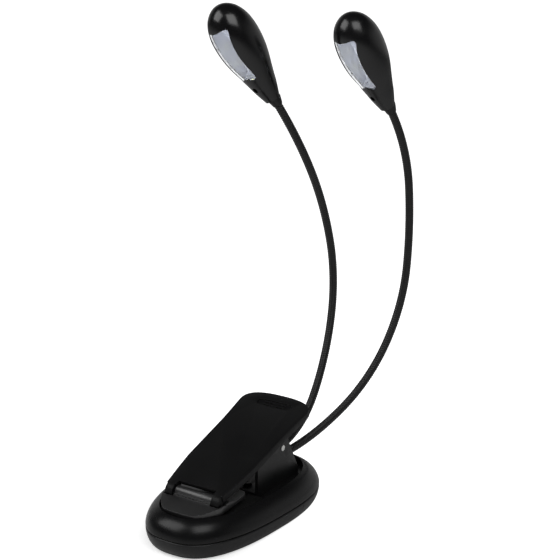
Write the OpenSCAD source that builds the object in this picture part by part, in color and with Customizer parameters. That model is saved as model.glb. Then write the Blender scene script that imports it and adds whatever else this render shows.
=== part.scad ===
// Clip-on reading lamp: an oval battery base with a sprung clip, two bendable necks and two lamp heads.
// Frame: Z up, origin on the underside at the middle of the base, jaw towards -Y, necks towards +Y.

/* [Base] */
// Length of the base
base_length = 100; // [90:1:120]
// Width of the base at its middle
base_width = 59; // [54:1:70]
// How far the rear is wider than the front
base_egg = 0.13; // [0:0.01:0.15]
// Squareness of the oval outline
base_square = 2.65; // [2:0.05:3]
// Height of the parting line
seam_z = 8.8; // [8:0.2:11]
// Height of the rim crest above the parting line
rim_height = 10; // [9:0.2:13]
// Width of the rounded shoulder
shoulder = 10.2; // [8:0.2:12]
// How far the underside is smaller than the parting line
belly = 5.3; // [3:0.1:7]
// Width of the rim round the recess
rim_width = 7; // [6:0.2:9]
// Depth of the recess below the rim crest
recess_depth = 4.2; // [3:0.1:4.6]
// Wall of the mouldings
wall = 1.6; // [1.2:0.1:1.8]
// Where the battery door ends and the tail cover begins
door_end_y = 16.5; // [12:0.5:20]

/* [Batteries] */
// Radius of a cell
cell_r = 5.25; // [4.5:0.05:5.5]
// Length of a cell
cell_length = 44.5; // [40:0.5:46]
// Distance between two cells
cell_pitch = 11.1; // [11.05:0.05:11.8]

/* [Clip] */
// Height of the clip pin
clip_pin_z = 31.7; // [31:0.1:34]
// Place of the clip pin along the base
clip_pin_y = 20.4; // [18:0.2:22]
// Radius of the clip pin
clip_pin_r = 1.4; // [1.2:0.05:1.6]
// Slope of the closed lever
lever_slope = 16; // [14:0.5:18]
// Clip pin to jaw pin along the lever
jaw_arm = 48.7; // [46:0.2:50]
// Clip pin to the end of the handle along the lever
handle_arm = 27.2; // [24:0.2:30]
// Half width of the lever beside the clip pin
lever_half = 17.9; // [17.6:0.1:19]
// Thickness of the lever plate
lever_plate = 1.9; // [1.5:0.1:2.2]
// Height of the lever's top above the clip pin
lever_top = 7.7; // [7.5:0.1:8.5]
// Depth of the lever's side skirts
skirt_depth = 3.2; // [2.4:0.1:4]
// Side of the lever to the outer face of a bracket ear
ear_inset = 2.15; // [2.05:0.05:2.8]
// Thickness of the bracket
ear_wall = 1.6; // [1.2:0.1:2]
// Radius of the jaw pin
jaw_pin_r = 1; // [0.8:0.05:1.1]
// Half width of the jaw foot
foot_half = 16.3; // [14:0.1:16.3]
// Jaw pin to the front of the jaw foot
foot_front = 14; // [12:0.2:15]
// Jaw pin to the rear of the jaw foot
foot_rear = 17.5; // [14:0.2:18]
// Tilt of the closed jaw foot
foot_tilt = 4; // [2:0.5:4]

/* [Necks] */
// Radius of a neck sleeve
neck_r = 2.05; // [1.8:0.05:2.2]
// Length of a neck
neck_length = 203; // [160:1:240]
// Half the distance between the two necks at their roots
neck_x = 3; // [2.8:0.1:3.6]
// Place of the neck roots along the base
neck_y = 43.5; // [43:0.1:45]
// Height of the neck roots
neck_z = 18.4; // [18:0.1:20]

/* [Heads] */
// Largest radius of a lamp head
head_r = 11.3; // [10:0.1:13]
// Length of a lamp head
head_length = 56; // [50:0.5:62]
// How far the belly of a head stands towards its lens
head_offset = 0.9; // [0:0.1:1.2]
// Wall of the head mouldings
head_wall = 1.5; // [1.2:0.1:1.8]

/* [Hidden] */
$fn = 64;

ear_x = lever_half - ear_inset; // outer face of the bracket ears
fit_gap = 0.1;            // gap between two parts that are fixed to each other
run_gap = 0.06;           // radial gap of a pin in a part that turns on it
ball_gap = 0.1;           // gap round a ball end
half_length = base_length / 2;
half_width = base_width / 2;
crest_z = seam_z + rim_height;
floor_z = crest_z - recess_depth;      // top of the recess floor
pad_height = 1;                        // thickness of the grip pad
jaw_pad_height = 1.4;
cell_z = wall + 0.4 + cell_r;
tray_half = cell_pitch + cell_r + 1;
tray_top = floor_z - wall - fit_gap;
cell_front = -cell_length / 2 - 2;     // where the cells' front ends are
cell_back = cell_front + cell_length;
spring_room = 3.6;
screw_x = 20;
screw_y = 24;
jaw_drop = 3.8;                        // jaw pin below the lever's top
barrel_r = 2.7;
notch_half = 10.5;
foot_plate = 1.9;
neck_count = 5;
neck_core_r = 1.1;
neck_bore_r = 1.45;
neck_end_in = 6.7;                      // depth of a neck end in the boss, from its ball
neck_start = neck_r + 0.1;             // an arc starts this far past the middle of the ball it turns on
neck_rise = 3;                         // slope of both necks at their roots
neck_turn = [2, 8];                    // how far each neck is turned towards +X at its root
// each neck is five arcs: how far each one bends, and the direction round the sleeve that it bends towards
neck_arcs = [[[44, -98], [33, -83], [26, -95], [14, -100], [19, 159]],
             [[33, -68], [32, -86], [25, -89], [7, -132], [23, -97]]];
head_turn = [-99, -82];                // turn of each head about its own length
window_top = 47.5;
window_bottom = 20.5;

// ---------- outlines ----------

// oval of the base, smaller all round by inset
function oval(inset, count = 48) = [for (i = [0 : count - 1])
    let (a = 360 * i / count, c = cos(a), s = sin(a), y = (half_length - inset) * sign(s) * pow(abs(s), 2 / base_square))
    [(half_width - inset) * sign(c) * pow(abs(c), 2 / base_square) * (1 + base_egg * y / half_length), y]];

module slice(inset, z, thick = 0.02) {
    translate([0, 0, z]) linear_extrude(thick) polygon(oval(inset));
}

// rounded solid between two heights of the base: a quarter round shoulder above the parting line
module upper_form(grow) {
    hull() for (a = [0, 25, 45, 65, 90])
        slice(grow + shoulder * (1 - cos(a)), seam_z + (rim_height - grow) * sin(a) - 0.02);
}

// and a shallow belly below it
module lower_form(grow) {
    hull() for (a = [0, 30, 60, 90])
        slice(grow + belly * (1 - cos(a)), seam_z - (seam_z - grow) * sin(a));
}

// ---------- placing ----------

// lever frame: origin on the clip pin, Y along the lever towards the handle, Z out of its top
module on_lever() {
    translate([0, clip_pin_y, clip_pin_z]) rotate([lever_slope, 0, 0]) children();
}

// foot frame: origin on the jaw pin
module on_foot() {
    on_lever() translate([0, -jaw_arm, lever_top - jaw_drop]) rotate([foot_tilt - lever_slope, 0, 0]) children();
}

function turn_z(a) = [[cos(a), -sin(a), 0, 0], [sin(a), cos(a), 0, 0], [0, 0, 1, 0], [0, 0, 0, 1]];
function arc_radius(bend) = neck_length / neck_count * 180 / (PI * bend);
function arc_step(bend) = [[cos(bend), 0, sin(bend), arc_radius(bend) * (1 - cos(bend))], [0, 1, 0, 0],
                           [-sin(bend), 0, cos(bend), arc_radius(bend) * sin(bend)], [0, 0, 0, 1]];
// frame at the root of a neck: Z along the sleeve, X level
function neck_root(k) = let (a = neck_turn[k], e = neck_rise) [
    [cos(a), sin(a) * sin(e), sin(a) * cos(e), (2 * k - 1) * neck_x],
    [-sin(a), cos(a) * sin(e), cos(a) * cos(e), neck_y],
    [0, -cos(e), sin(e), neck_z], [0, 0, 0, 1]];
// frame at the start of arc i of neck k; arc neck_count is the end of the neck
function neck_frame(k, i) = i == 0 ? neck_root(k) : let (arc = neck_arcs[k][i - 1])
    neck_frame(k, i - 1) * turn_z(arc[1]) * arc_step(arc[0]) * turn_z(-arc[1]);

// head frame: Z from the neck to the round end, X out of the lens
module on_head(k) {
    multmatrix(neck_frame(k, neck_count)) rotate([0, 0, head_turn[k]]) children();
}

// ---------- helpers ----------

// rod along X, centred
module cross_rod(r, length) {
    rotate([0, 90, 0]) cylinder(r = r, h = length, center = true);
}

// round wire along a list of points
module wire(points, r, sides = 8) {
    last = len(points) - 1;
    function along(i) = let (d = points[min(i + 1, last)] - points[max(i - 1, 0)]) d / norm(d);
    function across(i) = let (t = along(i), u = cross(t, abs(t[0]) > 0.9 ? [0, 1, 0] : [1, 0, 0])) u / norm(u);
    ring = [for (i = [0 : last]) let (u = across(i), v = cross(along(i), u)) for (j = [0 : sides - 1])
        points[i] + r * (u * cos(360 * j / sides) + v * sin(360 * j / sides))];
    polyhedron(ring, concat([[for (j = [0 : sides - 1]) j]], [[for (j = [sides - 1 : -1 : 0]) last * sides + j]],
        [for (i = [0 : last - 1], j = [0 : sides - 1]) let (n = (j + 1) % sides)
            [i * sides + j, (i + 1) * sides + j, (i + 1) * sides + n, i * sides + n]]));
}

// ---------- base ----------

module screw_post_places() {
    for (x = [-screw_x, screw_x]) translate([x, screw_y, 0]) children();
}

module neck_bores(r, back, front) {
    for (k = [0, 1]) multmatrix(neck_root(k)) translate([0, 0, -back]) cylinder(r = r, h = back + front);
}

boss_half = 8.3;
boss_front = neck_y - 8;
boss_back = neck_y - 0.9;
boss_top = neck_z + 2.8;

module neck_boss() {
    hull() for (x = [-1, 1], y = [boss_front + 2, boss_back - 2]) {
        translate([x * (boss_half - 2), y, floor_z - wall]) cylinder(r = 2, h = 1, $fn = 24);
        translate([x * (boss_half - 3), y, boss_top - 2]) sphere(r = 2, $fn = 24);
    }
}

module base_top_shell() color("#161617") difference() {
    union() {
        difference() {
            upper_form(0);
            difference() {
                translate([0, 0, -0.05]) upper_form(wall);
                translate([0, 0, floor_z - wall]) linear_extrude(rim_height) polygon(oval(rim_width - wall));
            }
            translate([0, 0, floor_z]) linear_extrude(rim_height) polygon(oval(rim_width));
            // gap behind the boss for the necks
            translate([-boss_half + 1, boss_back - 0.5, floor_z]) cube([2 * boss_half - 2, 12, rim_height]);
        }
        neck_boss();
        screw_post_places() translate([0, 0, seam_z]) cylinder(r = 3, h = floor_z - seam_z - 0.5);
    }
    neck_bores(neck_r + run_gap, neck_end_in + 0.3, 3);
    // pocket for the neck clamp
    translate([-boss_half + wall, boss_front + wall, floor_z - wall - 1])
        cube([2 * (boss_half - wall), 3.4, boss_top - floor_z]);
    screw_post_places() translate([0, 0, seam_z - 1]) cylinder(r = 1, h = 4.6);
    for (x = [-1, 1], y = bracket_screw_y) translate([x * cell_pitch / 2, y, floor_z - wall - 1])
        cylinder(r = 1.05, h = 4);
}

module lower_shell() {
    difference() {
        lower_form(0);
        translate([0, 0, 0.05]) lower_form(wall);
        translate([0, 0, seam_z - fit_gap]) cylinder(r = base_length, h = 5);
    }
}

module base_tail_cover() color("#121213") difference() {
    union() {
        intersection() {
            lower_shell();
            translate([-base_width, door_end_y + fit_gap / 2, -1]) cube([2 * base_width, base_length, seam_z + 2]);
        }
        screw_post_places() translate([0, 0, wall / 2]) cylinder(r = 3.2, h = seam_z - wall / 2 - fit_gap);
    }
    screw_post_places() {
        translate([0, 0, -1]) cylinder(r = 2.5, h = 4);
        cylinder(r = 1.3, h = seam_z);
    }
}

module battery_door() color("#121213") intersection() {
    lower_shell();
    translate([-base_width, door_end_y - fit_gap / 2 - base_length, -1])
        cube([2 * base_width, base_length, seam_z + 2]);
}

module battery_tray() color("#1d1d1f") difference() {
    translate([-tray_half, cell_front - spring_room - wall, cell_z])
        cube([2 * tray_half, cell_length + spring_room + 1 + 2 * wall, tray_top - cell_z]);
    for (i = [-1, 0, 1]) translate([i * cell_pitch, cell_front - spring_room, cell_z]) rotate([-90, 0, 0])
        cylinder(r = cell_r + 0.15, h = cell_length + spring_room + 1);
    for (x = [-1, 1], y = bracket_screw_y) translate([x * cell_pitch / 2, y, cell_z]) cylinder(r = 1.6, h = 8);
}

module battery(i) {
    translate([i * cell_pitch, 0, cell_z]) rotate([-90, 0, 0]) {
        translate([0, 0, cell_front]) cylinder(r = cell_r, h = cell_length - 1);
        translate([0, 0, cell_back - 1.2]) cylinder(r = 1.9, h = 1.2);
    }
}
module battery_left() color("#2f6f5e") battery(-1);
module battery_middle() color("#2f6f5e") battery(0);
module battery_right() color("#2f6f5e") battery(1);

module battery_springs() color("#c9c9c4") {
    turns = 3;
    for (i = [-1, 0, 1]) translate([i * cell_pitch, cell_front - spring_room + 0.9, cell_z])
        wire([for (a = [0 : 30 : 360 * turns]) let (t = a / 360 / turns, r = 3.6 - 1.4 * t)
            [r * cos(a), t * (spring_room - 1.4), r * sin(a)]], 0.35, 6);
}

module battery_contacts() color("#c9c9c4") for (i = [-1, 0, 1]) {
    translate([i * cell_pitch - 3.4, cell_back + 0.1, cell_z - 3.4]) cube([6.8, 0.5, 6.8]);
    translate([i * cell_pitch - 3.9, cell_front - spring_room + 0.05, cell_z - 3.9]) cube([7.8, 0.4, 7.8]);
}

board_y = cell_back + wall + 3;
board_z = seam_z - 1.5;
module circuit_board() color("#1f5c38") translate([-13, board_y, board_z]) cube([26, 13, 1.2]);

module board_parts() color("#2a2a2c") translate([0, board_y, board_z + 1.2]) {
    translate([-10, 3, 0]) cube([5, 4, 1.3]);
    for (x = [-2, 1, 4]) translate([x, 5, 0]) cube([1.6, 0.9, 0.6]);
    translate([9, 6, 0]) cylinder(r = 2, h = 2.4);
}

module pan_screw(head_r, head_h, r, length) {
    difference() {
        cylinder(r = head_r, h = head_h);
        for (a = [0, 90]) rotate([0, 0, a]) translate([-head_r * 0.6, -0.25, -0.1]) cube([head_r * 1.2, 0.5, 0.6]);
    }
    translate([0, 0, head_h]) cylinder(r = r, h = length);
}

module base_screws() color("#8d8e90") screw_post_places()
    translate([0, 0, 1.4]) pan_screw(2.2, 1.55, 0.95, seam_z + 1.8 - 3);

module grip_pad() color("#0c0c0c") intersection() {
    translate([0, 0, floor_z]) linear_extrude(pad_height) polygon(oval(rim_width + 0.6));
    translate([-base_width, -base_length, 0]) cube([2 * base_width, base_length + bracket_front - 1, 40]);
}

module neck_clamp() color("#9a9b9d") difference() {
    translate([-boss_half + wall + fit_gap, boss_front + wall + fit_gap, floor_z - wall - 1])
        cube([2 * (boss_half - wall - fit_gap), 3.4 - 2 * fit_gap, boss_top - floor_z - fit_gap]);
    neck_bores(neck_r + 0.02, 9, 3);
}

// ---------- clip ----------

bracket_front = -0.6;
bracket_back = 34;
bracket_screw_y = [6, 27.5];
ear_top_r = lever_top - lever_plate - 0.35;

module clip_bracket() color("#1b1b1c") difference() {
    union() {
        translate([-ear_x, bracket_front, floor_z]) cube([2 * ear_x, bracket_back - bracket_front, ear_wall]);
        for (x = [-ear_x, ear_x - ear_wall]) translate([x, 0, 0]) rotate([90, 0, 90]) linear_extrude(ear_wall)
            union() {
                polygon([[bracket_front, floor_z], [bracket_back, floor_z], [bracket_back, floor_z + 2.6],
                    [clip_pin_y + ear_top_r * cos(30), clip_pin_z + ear_top_r * sin(30)],
                    [clip_pin_y - ear_top_r * sin(lever_slope), clip_pin_z + ear_top_r * cos(lever_slope)],
                    [bracket_front, clip_pin_z + ear_top_r - (clip_pin_y - bracket_front) * tan(lever_slope) - 0.6]]);
                translate([clip_pin_y, clip_pin_z]) circle(r = ear_top_r);
            }
    }
    translate([0, clip_pin_y, clip_pin_z]) cross_rod(clip_pin_r + 0.02, 2 * ear_x + 2);
    for (x = [-1, 1], y = bracket_screw_y) translate([x * cell_pitch / 2, y, floor_z - 1])
        cylinder(r = 1.1, h = 4);
}

module bracket_screws() color("#8d8e90") for (x = [-1, 1], y = bracket_screw_y)
    translate([x * cell_pitch / 2, y, floor_z + ear_wall + 1.3]) rotate([180, 0, 0]) pan_screw(2.1, 1.3, 0.98, 4.2);

module clip_pin() color("#c4c4c2") translate([0, clip_pin_y, clip_pin_z]) {
    cross_rod(clip_pin_r, 2 * ear_x + 0.6);
}

lug_inner = 9.6;
lug_play = 0.95;               // side play between a lug and the ear beside it
lug_outer = ear_x - ear_wall - lug_play;
spring_r = 2.7;          // coil radius of the clip spring, to the middle of the wire
spring_wire = 0.7;
module clip_spring() color("#b9b9b6") {
    turns = 4;
    for (side = [-1, 1]) translate([0, clip_pin_y, clip_pin_z]) wire(concat(
        [[side * (2.4 + turns * 1.5), 14.6, floor_z + ear_wall + spring_wire + 0.2 - clip_pin_z]],
        [for (a = [0 : 30 : 360 * turns]) [side * (2.4 + turns * 1.5 - a / 360 * 1.5),
            spring_r * cos(a + 60), -spring_r * sin(a + 60)]],
        [[side * 2.4, 15.5, 15.5 * tan(lever_slope) + (lever_top - lever_plate - spring_wire - 0.3) / cos(lever_slope)]]),
        spring_wire, 8);
}

// half width of the lever along its length, with round corners at both ends
function lever_edge(u) = let (
    w = lookup(u, [[-jaw_arm - jaw_drop, lever_half - 3], [-44, lever_half - 2], [-38, lever_half - 1.2],
        [-28, lever_half - 0.3], [-16, lever_half], [2, lever_half], [10, lever_half + 0.5], [handle_arm - 9, lever_half + 1]]),
    end = handle_arm - 10, tip = -jaw_arm - jaw_drop + 2)
    u > end ? w * pow(1 - pow((u - end) / (handle_arm - end), 3), 1 / 2.6) : u < tip ?
    w - 2 + 2 * sqrt(max(0, 1 - pow((tip - u) / 2, 2))) : w;

function lever_outline(inset) = let (
    from = -jaw_arm - jaw_drop, to = handle_arm, n = 56,
    us = [for (i = [0 : n]) from + (to - from) * (1 - cos(180 * i / n)) / 2])
    concat([for (u = us) [max(0.5, lever_edge(u) - inset), u - (u > 0 ? inset * max(0, u) / to : 0)]],
           [for (i = [n : -1 : 0]) [-max(0.5, lever_edge(us[i]) - inset), us[i] - (us[i] > 0 ? inset * us[i] / to : 0)]]);

module clip_lever() color("#141415") on_lever() difference() {
    union() {
        intersection() {
            difference() {
                translate([0, 0, lever_top - skirt_depth]) linear_extrude(skirt_depth) polygon(lever_outline(0));
                translate([0, 0, lever_top - skirt_depth - 1]) linear_extrude(skirt_depth - lever_plate + 1)
                    polygon(lever_outline(1.4));
            }
            // the jaw end stops at the prongs
            translate([-50, -jaw_arm, -5]) cube([100, 100, 30]);
        }
        // prongs round the jaw pin
        for (side = [-1, 1]) translate([side * (notch_half + 2.2), -jaw_arm, lever_top - jaw_drop]) {
            cross_rod(jaw_drop, 4);
            translate([-2, 0, 0]) cube([4, 3.2, jaw_drop]);
        }
        // lugs on the clip pin
        for (side = [-1, 1]) {
            translate([side * (lug_inner + lug_outer) / 2, 0, 0]) cross_rod(3.4, lug_outer - lug_inner);
            translate([side > 0 ? lug_inner : -lug_outer, -3.4, 0]) cube([lug_outer - lug_inner, 6.8, lever_top - 0.5]);
        }
    }
    // notch for the jaw barrel
    translate([-notch_half + 0.2, -jaw_arm - 10, -5]) cube([2 * notch_half - 0.4, 12.7, 20]);
    cross_rod(clip_pin_r + run_gap, 40);
    translate([0, -jaw_arm, lever_top - jaw_drop]) cross_rod(jaw_pin_r + 0.02, 26);
    // thumb recess with two ribs left in it
    difference() {
        translate([0, handle_arm - 7.6, lever_top - 0.6]) linear_extrude(2) union() {
            square([14.6, 4.6], center = true);
            for (x = [-7.3, 7.3]) translate([x, 0]) circle(r = 2.3);
        }
        for (y = [-0.9, 0.9]) translate([-6, handle_arm - 7.6 + y - 0.25, lever_top - 1]) cube([12, 0.5, 0.85]);
    }
}

module jaw_pin() color("#c4c4c2") on_foot() cross_rod(jaw_pin_r, 25.4);

// outline of the jaw foot: a straight rear and a rounded front
function foot_outline(inset) = let (n = 28, w = foot_half - inset, corner = 3, start = -1.5,
    f = foot_front - inset + start, b = foot_rear - inset)
    concat([for (i = [0 : n]) let (a = 180 * i / n, c = cos(a), s = sin(a))
            [w * sign(c) * pow(abs(c), 2 / 2.8), start - f * pow(s, 2 / 2.8)]],
        [for (a = [0 : 15 : 90]) [-w + corner * (1 - cos(a)), b - corner + corner * sin(a)]],
        [for (a = [90 : -15 : 0]) [w - corner * (1 - cos(a)), b - corner + corner * sin(a)]]);

foot_top = -2.1;       // top of the foot's front edge below the jaw pin

// the foot stays inside the recess it closes on
module recess_room() {
    translate([0, 0, floor_z]) linear_extrude(30) polygon(oval(rim_width + 0.6));
}

module jaw_foot() color("#18181a") intersection() {
    recess_room();
    on_foot() difference() {
        union() {
            intersection() {
                translate([0, 0, foot_top - foot_plate]) linear_extrude(5) polygon(foot_outline(0));
                // sloping up from the front edge to the barrel, then down to a flat rear
                rotate([90, 0, 90]) linear_extrude(50, center = true) polygon([[-30, -8], [-30, foot_top - 3.1],
                    [-foot_front, foot_top], [-5.5, foot_top + 1.6], [3, foot_top + 1.6], [8, foot_top],
                    [30, foot_top], [30, -8]]);
            }
            cross_rod(barrel_r, 2 * notch_half - 1);
            translate([-notch_half + 0.5, -barrel_r, foot_top - 0.5]) cube([2 * notch_half - 1, 2 * barrel_r, 2.6]);
            translate([-14.1, -3.4, foot_top + 1]) cube([28.2, 1.1, 1.3]);
        }
        cross_rod(jaw_pin_r + run_gap, 40);
        // room for the lever's prongs
        for (side = [-1, 1]) translate([side * (notch_half + 2.2), 0, 0]) cross_rod(jaw_drop + 0.45, 5.2);
    }
}

module jaw_pad() color("#0c0c0c") intersection() {
    recess_room();
    on_foot() translate([0, 0, foot_top - foot_plate - jaw_pad_height])
        linear_extrude(jaw_pad_height) polygon(foot_outline(1.4));
}

// ---------- necks ----------

module neck_end(k) color("#202022") multmatrix(neck_root(k)) difference() {
    union() {
        translate([0, 0, -neck_end_in]) cylinder(r = neck_r, h = neck_end_in);
        sphere(r = neck_r);
    }
    translate([0, 0, -neck_end_in - 1]) cylinder(r = neck_core_r, h = neck_end_in + 5);
}

// one arc of a neck: a core with a ball at its far end, in a hollow sleeve that stops short of both balls
module neck_piece(k, i) color("#202022") {
    bend = neck_arcs[k][i][0];
    big = arc_radius(bend);
    skip = neck_start / big * 180 / PI;
    multmatrix(neck_frame(k, i)) rotate([0, 0, neck_arcs[k][i][1]]) {
        translate([big, 0, 0]) rotate([90, 0, 180]) rotate([0, 0, skip])
            rotate_extrude(angle = bend - 2 * skip) translate([big, 0]) difference() {
                circle(r = neck_r, $fn = 32);
                circle(r = neck_bore_r, $fn = 32);
            }
        translate([big, 0, 0]) rotate([90, 0, 180]) rotate([0, 0, skip])
            rotate_extrude(angle = bend - skip) translate([big, 0]) circle(r = neck_core_r, $fn = 24);
        multmatrix(arc_step(bend)) sphere(r = neck_r, $fn = 32);
    }
}

// ---------- heads ----------

function head_profile(grow) = [for (p = [[4.4, 3.7], [6, 4.2], [9, 5.2], [12, 6.1], [15, 6.85], [20, 8.2], [25, 9.6],
    [30, 10.65], [35, 11.2], [39, 11.3], [43, 11], [46, 10.4], [49, 9.3], [51.5, 7.9], [53.5, 6.1], [55, 4],
    [55.8, 2], [56, 0]]) let (r = p[1] * head_r / 11.3, z = p[0] * head_length / 56)
    [max(0, r - grow), z < 50 ? z : z - grow * (z - 50) / 6]];

// solid teardrop, smaller all round by grow
module teardrop(grow = 0) {
    translate([head_offset, 0, 0]) rotate_extrude() polygon(concat([[0, 4.4 * head_length / 56]], head_profile(grow)));
}

module head_half(front) {
    s = front ? 1 : -1;
    translate([head_offset + s * (40 + fit_gap / 2), 0, 30]) cube([80, 80, 80], center = true);
}

// one side of the window from the middle of its top to the middle of its bottom: half width, place along the head
window_side = [[0, window_top], [3, window_top - 0.1], [5.5, window_top - 0.5], [7, window_top - 1.3],
    [7.5, window_top - 2.7], [7.3, window_top - 5.5], [6.8, window_top - 9.5], [6.4, window_top - 14.5],
    [6, window_bottom + 7.5], [5.8, window_bottom + 3.5], [5.6, window_bottom + 0.5], [5.2, window_bottom - 1.1],
    [4.4, window_bottom - 1.6], [3, window_bottom - 1.2], [1.5, window_bottom - 0.4], [0, window_bottom]];

module window_outline(grow = 0) {
    last = len(window_side) - 1;
    middle = (window_top + window_bottom) / 2;
    points = concat(window_side, [for (i = [last - 1 : -1 : 1]) [-window_side[i][0], window_side[i][1]]]);
    polygon([for (p = points) let (d = p - [0, middle]) p + grow * d / norm(d)]);
}

module window(grow = 0, start = 0, depth = 30) {
    translate([start, 0, 0]) rotate([90, 0, 90]) linear_extrude(depth) window_outline(grow);
}

screw_s = 11.5;            // place of the head screw along the head
button_s = 30;             // place of the push button along the head
module head_shell(front) {
    difference() {
        intersection() {
            teardrop();
            head_half(front);
        }
        teardrop(head_wall);
    }
}

module head_front(k) color("#0f0f10") on_head(k) difference() {
    union() {
        head_shell(true);
        intersection() {
            translate([head_offset + fit_gap / 2, 0, screw_s]) rotate([0, 90, 0]) cylinder(r = 2.2, h = 8);
            teardrop(0.3);
        }
    }
    window(0.1);
    translate([0, 0, screw_s]) rotate([0, 90, 0]) cylinder(r = 1.2, h = 20);
    translate([head_offset + 2.6, 0, screw_s]) rotate([0, 90, 0]) cylinder(r = 1.5, h = 20);
}

module head_back(k) color("#0f0f10") on_head(k) difference() {
    union() {
        head_shell(false);
        intersection() {
            translate([head_offset - fit_gap / 2 - 8, 0, screw_s]) rotate([0, 90, 0]) cylinder(r = 2.2, h = 8);
            teardrop(0.3);
        }
    }
    translate([head_offset - 3.4, 0, screw_s]) rotate([0, 90, 0]) cylinder(r = 0.95, h = 10);
    translate([-20, 0, button_s]) rotate([0, 90, 0]) cylinder(r = 3.1, h = 20);
}

module head_lens(k) color("#dfe6ea") on_head(k) intersection() {
    difference() {
        teardrop(0.15);
        teardrop(head_wall - 0.1);
    }
    window();
}

board_x = head_offset - 1.4;
module head_board(k) color("#e8e8e2") on_head(k) translate([board_x, -5, 19]) cube([1, 10, 24]);

module head_leds(k) color("#f0d35a") on_head(k) for (s = [27, 36]) translate([board_x + 1, 0, s])
    rotate([0, 90, 0]) {
        cylinder(r = 2.3, h = 0.8);
        translate([0, 0, 1.6]) sphere(r = 1.5, $fn = 32);
    }

// bowl behind the lens with a hole for each light
module head_reflector(k) color("#c3c6c8") on_head(k) difference() {
    intersection() {
        teardrop(head_wall + 0.3);
        window(1, board_x + 1.1, 7);
    }
    window(0, board_x + 2);
    for (s = [27, 36]) translate([0, 0, s]) rotate([0, 90, 0]) cylinder(r = 2.5, h = 10);
}

module head_switch(k) color("#3a3a3c") on_head(k) translate([board_x - 2.6, 0, button_s]) {
    translate([0, -3, -3]) cube([2.5, 6, 6]);
}

module head_button(k) color("#2b2b2d") on_head(k) translate([0, 0, button_s]) {
    translate([-head_r + head_offset - 0.2, 0, 0]) rotate([0, 90, 0]) cylinder(r = 2.9, h = 4.4);
    translate([-head_r + head_offset + 4.2, 0, 0]) rotate([0, 90, 0]) cylinder(r = 1.2, h = 1.6);
}

module head_collar(k) color("#121213") on_head(k) difference() {
    translate([0, 0, 0.5]) cylinder(r1 = 2.45, r2 = 3.4, h = 3.8);
    sphere(r = neck_r + ball_gap, $fn = 48);
    cylinder(r = neck_bore_r, h = 10);
}

module head_screw(k) color("#77787a") on_head(k) translate([head_offset + 4.2, 0, screw_s]) rotate([0, -90, 0])
    pan_screw(1.4, 1.1, 0.9, 5.6);

// ---------- nodes ----------

module neck_or_head(side, k) {
    neck_end(k);
    for (i = [0 : neck_count - 1]) neck_piece(k, i);
    head_collar(k);
    head_front(k);
    head_back(k);
    head_lens(k);
    head_reflector(k);
    head_leds(k);
    head_board(k);
    head_switch(k);
    head_button(k);
    head_screw(k);
}

base_top_shell();
base_tail_cover();
battery_door();
battery_tray();
battery_left();
battery_middle();
battery_right();
battery_springs();
battery_contacts();
circuit_board();
board_parts();
base_screws();
grip_pad();
neck_clamp();
clip_bracket();
bracket_screws();
clip_pin();
clip_spring();
clip_lever();
jaw_pin();
jaw_foot();
jaw_pad();
neck_or_head("left", 0);
neck_or_head("right", 1);
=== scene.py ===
# %% [markdown]
# # A clip-on reading lamp
# The lamp is an oval battery base with a sprung clip, two bendable necks and two glossy teardrop heads.
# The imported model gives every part's place and every body that moves. This lesson puts smooth, finished
# surfaces round it: each one is a formula on a grid of numbers, worked out as a whole array with numpy.

# %% Load the frame
import math
import bpy
import bmesh
import numpy as np
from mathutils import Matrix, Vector


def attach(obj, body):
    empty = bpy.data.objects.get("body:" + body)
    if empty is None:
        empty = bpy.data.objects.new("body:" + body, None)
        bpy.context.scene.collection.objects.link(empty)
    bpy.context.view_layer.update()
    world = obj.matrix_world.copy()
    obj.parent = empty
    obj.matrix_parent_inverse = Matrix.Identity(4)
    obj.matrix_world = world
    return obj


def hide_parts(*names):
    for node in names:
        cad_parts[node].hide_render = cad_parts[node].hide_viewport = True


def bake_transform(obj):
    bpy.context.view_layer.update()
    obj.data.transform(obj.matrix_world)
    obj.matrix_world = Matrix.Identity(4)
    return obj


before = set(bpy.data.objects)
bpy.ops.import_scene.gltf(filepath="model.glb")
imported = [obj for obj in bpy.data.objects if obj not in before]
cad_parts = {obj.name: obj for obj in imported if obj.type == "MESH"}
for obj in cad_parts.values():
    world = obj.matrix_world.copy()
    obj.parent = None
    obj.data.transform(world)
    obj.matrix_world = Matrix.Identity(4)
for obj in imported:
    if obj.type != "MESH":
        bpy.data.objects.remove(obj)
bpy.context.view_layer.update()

# %% [markdown]
# ## The camera
# A long lens a little above the table and to the right of the jaw. A long lens keeps the two heads the
# same size although one is farther away, as a product picture does.

# %% Camera
MM = 0.001
AZIMUTH, ELEVATION, DISTANCE = math.radians(33), math.radians(17.57), 707.5 * MM
TARGET = Vector((27.49 * MM, 0, 121.8 * MM))
away = Vector((math.sin(AZIMUTH) * math.cos(ELEVATION), -math.cos(AZIMUTH) * math.cos(ELEVATION),
               math.sin(ELEVATION)))
camera = bpy.data.objects.new("camera", bpy.data.cameras.new("camera"))
camera.data.lens, camera.data.sensor_width = 103.74, 36
camera.location = TARGET + away * DISTANCE
camera.rotation_euler = (-away).to_track_quat("-Z", "Y").to_euler()
bpy.context.collection.objects.link(camera)
bpy.context.scene.camera = camera
print("camera at", [round(v, 4) for v in camera.location])

# %% [markdown]
# ## Helpers for surfaces
# A surface is an array of points with one row for each step of one parameter and one column for each step
# of the other. `add_grid` turns the array into faces. Points that fall together, as at a pole, are merged,
# and the faces are turned outwards, so the mesh is closed.

# %% Grid to mesh
SMOOTH_ANGLE = math.radians(38)


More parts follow.
